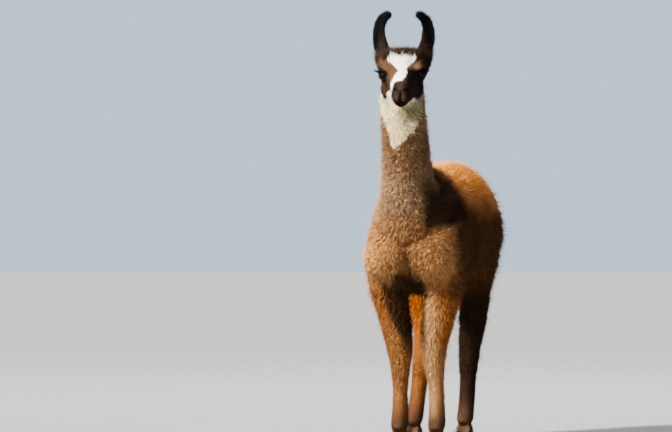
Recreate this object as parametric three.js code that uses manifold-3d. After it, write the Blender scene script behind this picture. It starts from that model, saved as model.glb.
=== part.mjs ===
// A standing young llama, life size, as a still museum model. Millimetres, +Z up.
// The animal faces -Y, its left side is +X, and its soles stand on z = 0. The solids reach to the
// tips of the coat. The flesh is shaped whole, from lofted forms, and then parted with thin cuts.
import * as THREE from "three";
import { mergeVertices } from "three/addons/utils/BufferGeometryUtils.js";
import Module from "manifold-3d";

const wasm = await Module();
wasm.setup();

// Driving dimensions
const GAP = 0.35; // left open between neighbouring pieces
const WITHERS = 955; // height of the shoulders over the wool
const RUMP = 972; // height of the croup over the wool
const BELLY = 538; // height of the belly's wool, behind the brisket
const BRISKET = 512; // height of the lowest wool, between the elbows
const TRUNK = { breast: -392, buttock: 390, half: 164, widest: 690 }; // ends, half width and its level
const KNEE = 305; // height of the carpus
const HOCK = 385; // height of the hock's point
const ELBOW_CUT = 500; // level at which the forelegs part from the trunk
const STIFLE_CUT = 550; // level at which the hind legs do
const LOIN = 20; // lengthwise place behind which that level holds
const FETLOCK_CUT = 92; // level at which the feet part from the legs
const HEAD = { x: 12, y: -408, z: 1249, yaw: 17, pitch: 28 }; // midway between the eyes, and the face's turn
const EYE = { radius: 17.5, along: 6, out: 60, up: 1 };
const EAR_CUT = 1336; // level at which the ears part from the head
const HIND_STEP = 125; // how far the right hind foot stands ahead of the left one

const { degToRad } = THREE.MathUtils;
const V = (x, y, z) => new THREE.Vector3(x, y, z);
const X = V(1, 0, 0);
const Y = V(0, 1, 0);
const Z = V(0, 0, 1);

// A closed mesh as a solid, whichever way its faces were wound, and a solid as a geometry
function solid(geometry, matrix) {
  const bare = geometry.clone();
  bare.deleteAttribute("normal");
  bare.deleteAttribute("uv");
  if (matrix) bare.applyMatrix4(matrix);
  const merged = mergeVertices(bare, 1e-3);
  const vertProperties = merged.attributes.position.array;
  const triVerts = new Uint32Array(merged.index.array);
  const made = new wasm.Manifold(new wasm.Mesh({ numProp: 3, vertProperties, triVerts }));
  if (made.volume() > 0) return made;
  triVerts.reverse();
  return new wasm.Manifold(new wasm.Mesh({ numProp: 3, vertProperties, triVerts }));
}

function geometryOf(made) {
  const { vertProperties, triVerts } = made.getMesh();
  const geometry = new THREE.BufferGeometry();
  geometry.setAttribute("position", new THREE.BufferAttribute(new Float32Array(vertProperties), 3));
  geometry.setIndex(new THREE.BufferAttribute(new Uint32Array(triVerts), 1));
  geometry.computeVertexNormals();
  return geometry;
}

const join = (...made) => made.reduce((a, b) => a.add(b));
const pair = (form) => [-1, 1].map(form);

// A smooth closed form through sections. A section is { at, side, up, down, box }: its centre, its reach
// along `across`, along `over` and against it, and how square its corners are (2 is an ellipse). With
// `follow`, the rings turn with the centre line. Each end is a dome `cap` times as long as it is wide.
function loft(sections, { across = X, over = Z, sides, rings, cap, round, follow = false }) {
  const centres = new THREE.CatmullRomCurve3(sections.map((s) => s.at));
  const reaches = new THREE.CatmullRomCurve3(sections.map((s) => V(s.side, s.up, s.down ?? s.up)));
  const boxes = new THREE.CatmullRomCurve3(sections.map((s) => V(s.box ?? 2, 0, 0)));
  const endReach = (t) => Math.min(reaches.getPoint(t).x, reaches.getPoint(t).y) * cap;
  const dome = (t, way) =>
    Array.from({ length: round }, (_, i) => {
      const a = ((i + 1) / (round + 1)) * (Math.PI / 2);
      return { t, scale: Math.cos(a), shift: way * Math.sin(a) * endReach(t) };
    });
  const body = Array.from({ length: rings + 1 }, (_, i) => ({ t: i / rings, scale: 1, shift: 0 }));
  const rows = [...dome(0, -1).reverse(), ...body, ...dome(1, 1)];
  const power = (v, n) => Math.sign(v) * Math.abs(v) ** (2 / n);
  const points = [];
  for (const { t, scale, shift } of rows) {
    const tangent = centres.getTangent(t);
    const centre = centres.getPoint(t).addScaledVector(tangent, shift);
    const edge = follow ? new THREE.Vector3().crossVectors(over, tangent).normalize() : across;
    const r = reaches.getPoint(t);
    const n = boxes.getPoint(t).x;
    for (let k = 0; k < sides; k++) {
      const a = (k / sides) * 2 * Math.PI;
      const c = power(Math.cos(a), n) * r.x * scale;
      const s = power(Math.sin(a), n) * (Math.sin(a) > 0 ? r.y : r.z) * scale;
      points.push(centre.clone().addScaledVector(edge, c).addScaledVector(over, s));
    }
  }
  const poles = points.length;
  points.push(centres.getPoint(0).addScaledVector(centres.getTangent(0), -endReach(0)));
  points.push(centres.getPoint(1).addScaledVector(centres.getTangent(1), endReach(1)));
  const index = [];
  for (let j = 0; j < rows.length - 1; j++) {
    for (let k = 0; k < sides; k++) {
      const [a, b] = [j * sides + k, j * sides + ((k + 1) % sides)];
      index.push(a, b, a + sides, b, b + sides, a + sides);
    }
  }
  const last = (rows.length - 1) * sides;
  for (let k = 0; k < sides; k++) {
    const next = (k + 1) % sides;
    index.push(poles, next, k, poles + 1, last + k, last + next);
  }
  return new THREE.BufferGeometry().setFromPoints(points).setIndex(index);
}

const ball = (x, y, z, rx, ry, rz, segments) =>
  solid(
    new THREE.SphereGeometry(1, segments, Math.round(segments * 0.6)),
    new THREE.Matrix4().makeTranslation(x, y, z).scale(V(rx, ry, rz)),
  );

// Trunk: sections across the body, from the breast to the buttocks
function trunkForm() {
  const { breast, buttock, half, widest } = TRUNK;
  const section = (y, top, bottom, side, mid = widest) => ({
    at: V(0, y, mid),
    side,
    up: top - mid,
    down: mid - bottom,
  });
  const sections = [
    section(breast + 14, WITHERS - 225, BRISKET + 98, 106, 676),
    section(breast + 50, WITHERS - 150, BRISKET + 46, 148, 674),
    section(breast + 120, WITHERS - 46, BRISKET + 6, half + 1, 672),
    section(breast + 220, WITHERS - 2, BRISKET, half + 4, 674),
    section(breast + 340, WITHERS - 6, BELLY, half - 1),
    section(breast + 450, WITHERS + 4, BELLY + 30, half - 5),
    section(breast + 540, RUMP, BELLY + 54, half - 4),
    section(buttock - 140, RUMP - 12, BELLY + 74, half - 5, 700),
    section(buttock - 72, RUMP - 46, BELLY + 96, half - 20, 710),
    section(buttock - 25, RUMP - 104, BELLY + 136, half - 60, 730),
  ];
  return solid(loft(sections, { across: X, over: Z, sides: 20, rings: 15, cap: 0.5, round: 2 }));
}

// Breast: the two soft masses over the forelegs, with the furrow between them
const breastForm = () => join(...pair((s) => ball(s * 80, TRUNK.breast + 98, 642, 90, 99, 98, 14)));

// Neck: upright, set into the front of the trunk. `front` and `nape` are its lines in the side view
function neckForm() {
  const section = (z, front, nape, side, x = 0) => ({
    at: V(x, (front + nape) / 2, z),
    side,
    up: (nape - front) / 2,
    box: 2.1,
  });
  const sections = [
    section(1236, -428, -284, 68, -5),
    section(1180, -436, -274, 74, -5),
    section(1100, -434, -262, 77, -2),
    section(1010, -428, -246, 80),
    section(930, -422, -222, 85),
    section(860, -414, -186, 98),
    section(790, -404, -150, 118),
    section(722, -392, -140, 130),
  ];
  return solid(loft(sections, { across: X, over: Y, sides: 18, rings: 10, cap: 0.3, round: 1 }));
}

// Head: its own frame has +X to the animal's left, -Y along the face and +Z over it
const headFrame = new THREE.Matrix4()
  .makeTranslation(HEAD.x, HEAD.y, HEAD.z)
  .multiply(new THREE.Matrix4().makeRotationZ(degToRad(HEAD.yaw)))
  .multiply(new THREE.Matrix4().makeRotationX(degToRad(HEAD.pitch)));
const inHead = (x, along, up) => V(x, -along, up).applyMatrix4(headFrame);

function headForm() {
  const section = (along, top, bottom, side, box = 2.2, mid = (top + bottom) / 2) => ({
    at: V(0, -along, mid),
    side,
    up: top - mid,
    down: mid - bottom,
    box,
  });
  const sections = [
    section(-84, 54, -52, 50),
    section(-60, 72, -80, 68),
    section(-26, 76, -92, 76),
    section(0, 67, -92, 68, 2.2, -16),
    section(20, 56, -90, 57, 2.2, -30),
    section(42, 43, -86, 52, 2.2, -38),
    section(68, 33, -78, 44, 2.2, -34),
    section(94, 25, -68, 36, 2.2, -26),
    section(118, 19, -57, 31, 2.4, -20),
    section(137, 8, -49, 28, 2.4, -20),
  ];
  const skull = loft(sections, { across: X, over: Z, sides: 18, rings: 14, cap: 0.45, round: 2 });
  const cheeks = pair((s) => ball(s * 42, -4, -54, 35, 50, 40, 9));
  const temples = pair((s) => ball(s * 50, 26, 32, 31, 40, 37, 9));
  const brows = pair((s) => ball(s * 52, 0, 25, 24, 22, 14, 8));
  const lips = pair((s) => ball(s * 13, -138, -24, 17, 17, 19, 8));
  const chin = ball(0, -128, -46, 20, 22, 14, 8);
  return join(solid(skull), ...cheeks, ...temples, ...brows, ...lips, chin).transform(headFrame.elements);
}

// Ear: a banana-shaped cup, bowed outwards and in again at its tip. `out` and `up` are its centre line
// in the front view, from the head's middle and from the ear's foot
const EAR = {
  foot: 66,
  shift: 4,
  out: [46, 60, 70, 79, 83, 80, 67, 45],
  up: [-56, -20, 10, 40, 72, 102, 125, 137],
  back: [30, 44, 52, 54, 52, 49, 45, 41],
  half: [36, 33, 29, 27, 25, 23, 20, 14],
  thick: [38, 30, 21, 15, 13, 11, 9, 7],
};
function earForm(s) {
  const open = V(s * 0.3, -1, 0).normalize(); // the way the cup opens
  const section = (i, grow, ahead) => ({
    at: V(s * EAR.out[i], EAR.back[i], EAR.up[i]).addScaledVector(open, ahead),
    side: EAR.half[i] * grow,
    up: EAR.thick[i] * grow,
  });
  const options = { over: open, sides: 10, cap: 0.9, round: 2, follow: true };
  const shell = loft(EAR.out.map((_, i) => section(i, 1, 0)), { ...options, rings: 10 });
  const scoop = loft([3, 4, 5, 6].map((i) => section(i, 0.7, EAR.thick[i] * 0.8)), { ...options, rings: 5 });
  const stand = new THREE.Matrix4()
    .makeTranslation(HEAD.x + EAR.shift, HEAD.y, HEAD.z + EAR.foot)
    .multiply(new THREE.Matrix4().makeRotationZ(degToRad(HEAD.yaw)));
  return solid(shell).subtract(solid(scoop)).transform(stand.elements);
}

// Legs: sections from the shoulder or haunch down to the pastern. Below the level it swings from, a leg
// steps forward and inward, by its full `step` and `inward` at the floor
const along = (leg, z) => THREE.MathUtils.clamp((leg.swing - z) / leg.swing, 0, 1);
function legForm(leg) {
  const { s, levels, step, inward } = leg;
  const sections = levels.map(([z, out, y, side, ahead, behind]) => ({
    at: V(s * (out - inward * along(leg, z)), y - step * along(leg, z), z),
    side,
    up: behind,
    down: ahead,
    box: 2.1,
  }));
  return solid(loft(sections, { across: X, over: Y, sides: 12, rings: 17, cap: 0.4, round: 1 }));
}

const FORELEG = [
  // level, out from the middle, lengthwise, half width, reach ahead, reach behind
  [715, 84, -290, 54, 72, 74],
  [650, 110, -264, 62, 74, 82],
  [580, 106, -244, 69, 64, 78],
  [515, 97, -236, 68, 56, 66],
  [455, 84, -236, 65, 52, 58],
  [400, 73, -237, 59, 49, 50],
  [350, 65, -238, 51, 45, 44],
  [KNEE, 61, -240, 45, 42, 40],
  [262, 63, -238, 36, 35, 36],
  [190, 67, -236, 28, 29, 32],
  [135, 68, -238, 28, 29, 34],
  [100, 69, -243, 30, 31, 37],
  [62, 69, -252, 31, 33, 31],
];
const HINDLEG = [
  [830, 66, 228, 48, 90, 90],
  [745, 92, 212, 62, 112, 118],
  [660, 103, 190, 63, 112, 118],
  [590, 99, 174, 62, 92, 106],
  [530, 90, 180, 61, 72, 88],
  [470, 84, 198, 58, 59, 68],
  [425, 78, 214, 55, 50, 55],
  [HOCK, 73, 224, 51, 46, 51],
  [345, 70, 220, 45, 42, 45],
  [285, 70, 210, 39, 37, 39],
  [200, 72, 203, 31, 32, 34],
  [135, 72, 199, 29, 30, 35],
  [100, 72, 195, 30, 32, 37],
  [62, 72, 187, 31, 34, 31],
];
const LEGS = [
  { name: "front_left", s: 1, levels: FORELEG, swing: 600, step: 0, inward: -13 },
  { name: "front_right", s: -1, levels: FORELEG, swing: 600, step: -6, inward: 18 },
  { name: "hind_left", s: 1, levels: HINDLEG, swing: 760, step: 30, inward: 24 },
  { name: "hind_right", s: -1, levels: HINDLEG, swing: 760, step: HIND_STEP + 30, inward: -30 },
];

// Foot: two padded toes side by side, each with a nail over its tip
const TOE = { out: 16, half: 14.5, length: 62, splay: 7 };
function footPlace(leg) {
  const [z, out, y] = leg.levels[leg.levels.length - 1];
  return V(leg.s * (out - leg.inward * along(leg, z)), y - leg.step * along(leg, z), 0);
}
function toeFrame(leg, t) {
  const foot = footPlace(leg);
  return new THREE.Matrix4()
    .makeTranslation(foot.x + t * TOE.out, foot.y, 0)
    .multiply(new THREE.Matrix4().makeRotationZ(degToRad(t * TOE.splay)));
}
function toeForm(leg, t) {
  const section = (y, top, side) => ({ at: V(0, y, 14), side, up: top - 14, down: 20, box: 2.4 });
  const sections = [
    section(26, 46, 12),
    section(8, 62, 15.5),
    section(-16, 50, 15.5),
    section(-36, 34, 14.5),
    section(-50, 24, 11),
  ];
  const toe = loft(sections, { across: X, over: Z, sides: 8, rings: 3, cap: 0.5, round: 1 });
  return solid(toe).transform(toeFrame(leg, t).elements);
}
function nailForm(leg, t) {
  const section = (y, top, side) => ({ at: V(0, y, 12), side, up: top - 12, down: 8, box: 2.2 });
  const sections = [section(-37, 36, 10), section(-47, 30, 10), section(-58, 20, 7.5), section(-65, 13, 4)];
  const nail = loft(sections, { across: X, over: Z, sides: 6, rings: 2, cap: 0.4, round: 1 });
  return solid(nail).transform(toeFrame(leg, t).elements);
}

// Tail: short and woolly, hanging close behind the buttocks
function tailForm() {
  const section = (y, z, half) => ({ at: V(0, y, z), side: half * 0.72, up: half });
  const sections = [
    section(336, 898, 30),
    section(374, 892, 36),
    section(406, 858, 42),
    section(418, 800, 43),
    section(416, 744, 36),
    section(409, 706, 18),
  ];
  return solid(loft(sections, { over: X, sides: 12, rings: 8, cap: 0.9, round: 1, follow: true }));
}

// Cuts: what lies on a plane's far side, as a large block turned to face it
function beyond(point, normal) {
  const size = 3000;
  const turn = new THREE.Quaternion().setFromUnitVectors(Z, normal.clone().normalize());
  const ahead = new THREE.Matrix4().makeTranslation(0, 0, size / 2 + GAP / 2);
  const matrix = new THREE.Matrix4().compose(point, turn, V(1, 1, 1)).multiply(ahead);
  return solid(new THREE.BoxGeometry(size, size, size), matrix);
}
function part(made, point, normal) {
  const back = normal.clone().negate();
  return [made.intersect(beyond(point, normal)), made.intersect(beyond(point, back))];
}

// The pieces of a solid, largest first, without the crumbs that a cut can leave
const CRUMB = 500; // cubic millimetres
const bodies = (made) =>
  made
    .decompose()
    .filter((b) => b.volume() > CRUMB)
    .sort((a, b) => b.volume() - a.volume());
const main = (made) => bodies(made)[0];
const middle = (b) => {
  const { min, max } = b.boundingBox();
  return V((min[0] + max[0]) / 2, (min[1] + max[1]) / 2, (min[2] + max[2]) / 2);
};

// A nail grown by the gap all round, to cut its seat
function seatOf(nail) {
  const { min, max } = nail.boundingBox();
  const centre = middle(nail);
  const grow = [0, 1, 2].map((i) => 1 + (2 * GAP) / (max[i] - min[i]));
  const matrix = new THREE.Matrix4()
    .makeTranslation(centre.x, centre.y, centre.z)
    .scale(V(...grow))
    .multiply(new THREE.Matrix4().makeTranslation(-centre.x, -centre.y, -centre.z));
  return nail.transform(matrix.elements);
}

// Paints
const paint = (color, roughness = 0.95) => new THREE.MeshStandardMaterial({ color, roughness, metalness: 0 });
const PAINT = {
  body: paint("#a4682f"),
  neck: paint("#7a5a3c"),
  head: paint("#6b4a30"),
  ear: paint("#1d1410"),
  leg: paint("#7d5530"),
  foot: paint("#4c3522"),
  eye: paint("#0c0806", 0.08),
  nail: paint("#2a2019", 0.5),
};

const model = new THREE.Group();
function place(name, made, material) {
  const mesh = new THREE.Mesh(geometryOf(made), material);
  mesh.name = name;
  model.add(mesh);
}

// The whole flesh, standing on the floor
const floor = beyond(V(0, 0, -GAP / 2), Z);
const onEachToe = (form) => LEGS.flatMap((leg) => pair((t) => form(leg, t)));
const flesh = join(
  trunkForm(),
  breastForm(),
  neckForm(),
  headForm(),
  ...pair(earForm),
  ...LEGS.map(legForm),
  ...onEachToe(toeForm),
).intersect(floor);

// Its cuts. The space of the legs is low in front and higher behind
const down = V(0, 0, -1);
const legSpace = (slack) =>
  join(
    beyond(V(0, 0, ELBOW_CUT + slack), down),
    beyond(V(0, 0, STIFLE_CUT + slack), down).intersect(beyond(V(0, LOIN - slack, 0), Y)),
  );
const lower = flesh.intersect(legSpace(0));
const upper = flesh.subtract(legSpace(GAP));
const [shanks, feet] = part(lower, V(0, 0, FETLOCK_CUT), Z);
const [head, body] = part(upper, inHead(0, 0, 0).add(V(0, 50, -30)), V(0.18, -0.72, 0.67));
const [ears, skull] = part(head, V(0, 0, EAR_CUT), Z);
const [neck, trunk] = part(body, V(0, -262, 850), V(0, -0.5, 0.866));

// Head, eyes and ears
const eyeball = (s, grow) => {
  const at = inHead(s * EYE.out, EYE.along, EYE.up);
  const r = EYE.radius + grow;
  return ball(at.x, at.y, at.z, r, r, r, 10);
};
place("head", main(skull.subtract(join(...pair((s) => eyeball(s, GAP))))), PAINT.head);
place("eye_left", eyeball(1, 0), PAINT.eye);
place("eye_right", eyeball(-1, 0), PAINT.eye);
for (const ear of bodies(ears).slice(0, 2)) {
  place(middle(ear).x > HEAD.x ? "ear_left" : "ear_right", ear, PAINT.ear);
}

// Neck, trunk and tail. The tail stops short of the rump that it lies on
place("neck", main(neck), PAINT.neck);
place("trunk", main(trunk), PAINT.body);
place("tail", main(tailForm().subtract(trunk.add(trunk.translate(0, GAP, 0)))), PAINT.body);

// Legs, feet and toenails
const cornerOf = (b) => `${middle(b).y < 0 ? "front" : "hind"}_${middle(b).x > 0 ? "left" : "right"}`;
for (const shank of bodies(shanks).slice(0, LEGS.length)) place(`leg_${cornerOf(shank)}`, shank, PAINT.leg);
const nails = onEachToe((leg, t) => ({
  leg: leg.name,
  name: `toenail_${leg.name}_${t === leg.s ? "outer" : "inner"}`,
  made: nailForm(leg, t).intersect(floor),
}));
for (const foot of bodies(feet).slice(0, LEGS.length)) {
  const own = nails.filter((nail) => nail.leg === cornerOf(foot));
  const seats = join(...own.map((nail) => seatOf(nail.made)));
  place(`foot_${cornerOf(foot)}`, main(foot.subtract(seats)), PAINT.foot);
  for (const nail of own) place(nail.name, nail.made, PAINT.nail);
}

// The origin is the middle of the box's floor
const box = new THREE.Box3().setFromObject(model);
model.position.set(-(box.min.x + box.max.x) / 2, -(box.min.y + box.max.y) / 2, 0);

export default model;
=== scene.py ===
import math
import bpy
import bmesh
import numpy as np
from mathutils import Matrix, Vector
from mathutils.bvhtree import BVHTree
from mathutils.kdtree import KDTree


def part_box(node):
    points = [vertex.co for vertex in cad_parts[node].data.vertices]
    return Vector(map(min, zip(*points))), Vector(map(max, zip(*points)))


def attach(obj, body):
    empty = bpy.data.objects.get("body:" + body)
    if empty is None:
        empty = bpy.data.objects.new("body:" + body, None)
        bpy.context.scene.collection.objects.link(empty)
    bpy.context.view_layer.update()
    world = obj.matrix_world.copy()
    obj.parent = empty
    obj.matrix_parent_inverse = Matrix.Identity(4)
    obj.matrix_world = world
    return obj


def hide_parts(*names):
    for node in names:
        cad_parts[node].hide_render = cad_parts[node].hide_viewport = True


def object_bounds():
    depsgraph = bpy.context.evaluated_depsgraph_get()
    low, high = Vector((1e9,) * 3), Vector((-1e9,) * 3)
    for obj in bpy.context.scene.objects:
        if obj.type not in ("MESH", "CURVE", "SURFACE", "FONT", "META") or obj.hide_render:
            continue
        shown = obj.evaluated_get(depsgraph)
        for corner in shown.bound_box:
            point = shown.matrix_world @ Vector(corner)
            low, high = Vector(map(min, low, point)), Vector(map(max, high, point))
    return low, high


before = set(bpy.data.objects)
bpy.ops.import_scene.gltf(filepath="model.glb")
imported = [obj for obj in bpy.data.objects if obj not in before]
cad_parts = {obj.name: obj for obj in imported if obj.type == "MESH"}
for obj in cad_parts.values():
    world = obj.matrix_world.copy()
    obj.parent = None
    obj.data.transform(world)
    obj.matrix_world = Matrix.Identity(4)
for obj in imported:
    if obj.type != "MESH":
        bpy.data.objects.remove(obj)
cadLow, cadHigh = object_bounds()
scene = bpy.context.scene
print("frame loaded,", len(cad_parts), "nodes")


# small tools for arrays of points, and for objects

def unit(vectors):
    return vectors / np.maximum(np.linalg.norm(vectors, axis=-1, keepdims=True), 1e-9)


def ease(value, low, high):  # 0 before low, 1 after high, smooth between
    part = np.clip((value - low) / (high - low), 0, 1)
    return part * part * (3 - 2 * part)


def mix(first, second, share):
    return first + (second - first) * share


def blend(first, second, share):  # the same for colours and directions
    return first + (second - first) * np.asarray(share)[..., None]


def hump(distance, width):  # 1 at no distance, dying away over the width
    return np.exp(-((distance / width) ** 2))


def tint(red, green, blue):  # a colour as seen, 0 to 255, as light
    seen = np.array([red, green, blue]) / 255
    return np.where(seen > 0.04045, ((seen + 0.055) / 1.055) ** 2.4, seen / 12.92)


def scramble(cells):  # one number for each cell of a grid
    x, y, z = cells.T
    return x * 73856093 ^ y * 19349663 ^ z * 83492791


def blobs(points, size, seed):  # smooth noise from 0 to 1, its blobs about this size
    at = points / size + 31.7 * seed
    cell = np.floor(at).astype(np.int64)
    part = at - cell
    part = part * part * (3 - 2 * part)
    total = np.zeros(len(points))
    for corner in np.ndindex(2, 2, 2):
        mixed = scramble(cell + corner) ^ (seed + 1) * 2654435761
        mixed = (mixed ^ (mixed >> 13)) * 1274126177 & 0xFFFFFFFF
        weight = np.prod(np.where(corner, part, 1 - part), axis=1)
        total += weight * ((mixed ^ (mixed >> 16)) & 0xFFFF) / 0xFFFF
    return total


def read(items, key, width, kind=np.float32):  # one value of every item, a row for each
    flat = np.empty(len(items) * width, kind)
    items.foreach_get(key, flat)
    return flat.reshape(-1, width)


def pointsOf(mesh):
    return read(mesh.vertices, "co", 3).astype(float)


def setPoints(mesh, points):
    mesh.vertices.foreach_set("co", points.astype(np.float32).ravel())
    mesh.update()


def edgesOf(mesh):
    return read(mesh.edges, "vertices", 2, np.int32)


def normalsOf(mesh):
    return read(mesh.vertex_normals, "vector", 3).astype(float)


def spread(values, edges, rounds, where=None):  # each point takes the mean of itself and its neighbours
    first, second = edges.T
    share = 1 + np.bincount(edges.ravel(), minlength=len(values))
    result = values.reshape(len(values), -1).astype(float)
    for _ in range(rounds):
        total = result.copy()
        for k in range(result.shape[1]):
            total[:, k] += np.bincount(first, result[second, k], len(share))
            total[:, k] += np.bincount(second, result[first, k], len(share))
        total /= share[:, None]
        result = total if where is None else blend(result, total, where)
    return result.reshape(values.shape)


def alone(obj):  # select this object and no other
    bpy.ops.object.select_all(action="DESELECT")
    obj.select_set(True)
    bpy.context.view_layer.objects.active = obj


def addObject(name, data):
    obj = bpy.data.objects.new(name, data)
    scene.collection.objects.link(obj)
    return obj


def faceOutwards(mesh):
    shell = bmesh.new()
    shell.from_mesh(mesh)
    bmesh.ops.recalc_face_normals(shell, faces=shell.faces)
    shell.to_mesh(mesh)
    shell.free()


def smoothFaces(mesh):
    mesh.polygons.foreach_set("use_smooth", np.ones(len(mesh.polygons), bool))


# the camera stands a little under half the animal's height, far off, on its left front

cameraView = {"azimuth": 19, "distance": 9.5, "height": 0.70, "lens": 152.7, "farthest": 60,
              "turn": 1.266, "lift": 0.462}


def makeCamera():
    azimuth = math.radians(cameraView["azimuth"])
    breast = Vector((0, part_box("trunk")[0].y, 0))
    back = Vector((math.sin(azimuth), -math.cos(azimuth), 0))
    data = bpy.data.cameras.new("camera")
    data.lens, data.clip_end = cameraView["lens"], cameraView["farthest"]
    camera = addObject("camera", data)
    camera.location = breast + back * cameraView["distance"] + Vector((0, 0, cameraView["height"]))
    camera.rotation_euler = (math.radians(90 + cameraView["lift"]), 0,
                             azimuth + math.radians(cameraView["turn"]))
    scene.camera = camera


makeCamera()


# the head's own directions: to its left, along the face, and over it

headFacts = {"pitch": math.radians(28)}


def boxMiddle(node):
    low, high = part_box(node)
    return np.array((low + high) / 2)


eyePlaces = {1: boxMiddle("eye_left"), -1: boxMiddle("eye_right")}
headMiddle = (eyePlaces[1] + eyePlaces[-1]) / 2
leftward = unit(eyePlaces[1] - eyePlaces[-1])
level = np.cross(leftward, (0, 0, 1))
headAxes = np.stack([
    leftward,
    level * math.cos(headFacts["pitch"]) - np.array([0, 0, math.sin(headFacts["pitch"])]),
    level * math.sin(headFacts["pitch"]) + np.array([0, 0, math.cos(headFacts["pitch"])]),
])


def inHead(points):
    return (points - headMiddle) @ headAxes.T


def outOfHead(points):
    return points @ headAxes + headMiddle


# skin: one surface inside all the flesh, by the depth of the coat

skinSettings = {"voxel": 0.0066, "grow": 0.0004, "smoothing": 5, "bodySmoothing": 30, "breastSmoothing": 90,
                "soleHeight": 0.0006}
kinds = ["head", "ear", "neck", "trunk", "tail", "leg", "foot"]
kindOf = {"eye": "head", "toenail": "foot"}


def startSkin():
    shell = bmesh.new()
    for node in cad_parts.values():
        shell.from_mesh(node.data)
    bmesh.ops.remove_doubles(shell, verts=shell.verts, dist=1e-5)
    shell.normal_update()
    for vertex in shell.verts:
        vertex.co += vertex.normal * skinSettings["grow"]
    mesh = bpy.data.meshes.new("skin")
    shell.to_mesh(mesh)
    shell.free()
    skin = addObject("skin", mesh)
    alone(skin)
    remesh = skin.modifiers.new("remesh", "REMESH")
    remesh.mode, remesh.voxel_size = "VOXEL", skinSettings["voxel"]
    bpy.ops.object.modifier_apply(modifier="remesh")
    return skin


def solidsTree(names):  # the solids' faces in one tree, and the kind of piece that each face is of
    corners, faces, owner = [], [], []
    for name in names:
        node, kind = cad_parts[name], name.split("_")[0]
        start = len(corners)
        corners += [v.co.copy() for v in node.data.vertices]
        faces += [[start + i for i in p.vertices] for p in node.data.polygons]
        owner += [kinds.index(kindOf.get(kind, kind))] * len(node.data.polygons)
    return BVHTree.FromPolygons(corners, faces), owner


def nearestKinds(points):  # which kind of piece each point lies nearest to
    tree, owner = solidsTree(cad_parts)
    return np.array([owner[tree.find_nearest(Vector(p))[2]] for p in points])


def fitEars(points, index):  # the ears are thin, so their skin goes back out onto their solids
    tree = solidsTree(["ear_left", "ear_right"])[0]
    share = spread((index == kinds.index("ear")).astype(float), edges, 3)
    fitted = points.copy()
    for i in np.flatnonzero(share > 0.05):
        fitted[i] = tree.find_nearest(Vector(points[i]))[0]
    return spread(blend(points, fitted, ease(share, 0.3, 0.9)), edges, 2, where=ease(share, 0.05, 0.3))


skin = startSkin()
edges = edgesOf(skin.data)
stepped = pointsOf(skin.data)
bodyShare = ease(inHead(stepped)[:, 2], -0.06, -0.12) * ease(stepped[:, 2], 0.12, 0.22)
outer = spread(stepped, edges, skinSettings["smoothing"])
outer = spread(outer, edges, skinSettings["bodySmoothing"], where=bodyShare)
lost = stepped - outer  # the bulk that the smoothing took comes back
outer += blend(spread(lost, edges, 3), spread(lost, edges, 14), bodyShare)
breastBase = ease(outer[:, 1], -0.14, -0.22) * ease(outer[:, 2], 0.60, 0.66) * ease(outer[:, 2], 0.88, 0.78)
outer = spread(outer, edges, skinSettings["breastSmoothing"], where=breastBase)
setPoints(skin.data, outer)
kindIndex = nearestKinds(outer)
outer = fitEars(outer, kindIndex)
setPoints(skin.data, outer)
print("skin started,", len(outer), "points")

# how the coat grows on each kind of piece: its depth over the skin, the tufts' length and width,
# how steeply they rise at the root and tip, and the space between them, in metres and degrees

coatPlan = {
    "head": {"depth": 0.0024, "length": 0.0066, "width": 0.0012, "root": 24, "tip": 12, "space": 0.0016},
    "ear": {"depth": 0.0012, "length": 0.0080, "width": 0.0016, "root": 34, "tip": 15, "space": 0.0021},
    "neck": {"depth": 0.0140, "length": 0.0190, "width": 0.0019, "root": 58, "tip": 42, "space": 0.0021},
    "trunk": {"depth": 0.0170, "length": 0.0320, "width": 0.0024, "root": 44, "tip": 22, "space": 0.0026},
    "tail": {"depth": 0.0180, "length": 0.0440, "width": 0.0032, "root": 34, "tip": 16, "space": 0.0035},
    "leg": {"depth": 0.0080, "length": 0.0160, "width": 0.0022, "root": 38, "tip": 18, "space": 0.0025},
    "foot": {"depth": 0.0022, "length": 0.0060, "width": 0.0018, "root": 28, "tip": 10, "space": 0.0026},
}
coatKeys = ["depth", "length", "width", "root", "tip", "space"]


coatChanges = {  # what the coat changes to in some places of a piece
    "woollyLeg": {"depth": 0.017, "length": 0.030, "width": 0.0026, "space": 0.0028},
    "slimLeg": {"depth": 0.004, "length": 0.009, "width": 0.0018, "space": 0.0022},
    "crown": {"depth": 0.013, "length": 0.019, "width": 0.0017, "root": 62, "tip": 48, "space": 0.0020},
    "muzzle": {"depth": 0.0012, "length": 0.0042, "width": 0.0010, "root": 24, "tip": 8, "space": 0.0015},
    "throat": {"depth": 0.009, "length": 0.015, "width": 0.0020, "root": 50, "tip": 26, "space": 0.0022},
    "earTip": {"length": 0.011, "root": 46, "tip": 34},
    "breast": {"length": 0.020, "width": 0.0018, "root": 50, "tip": 30, "space": 0.0021},
    "poll": {"length": 0.022, "root": 80, "tip": 74},
    "temple": {"length": 0.016, "width": 0.0014, "root": 58, "tip": 52},
    "besideEar": {"length": 0.030, "root": 84, "tip": 80},
}


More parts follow.
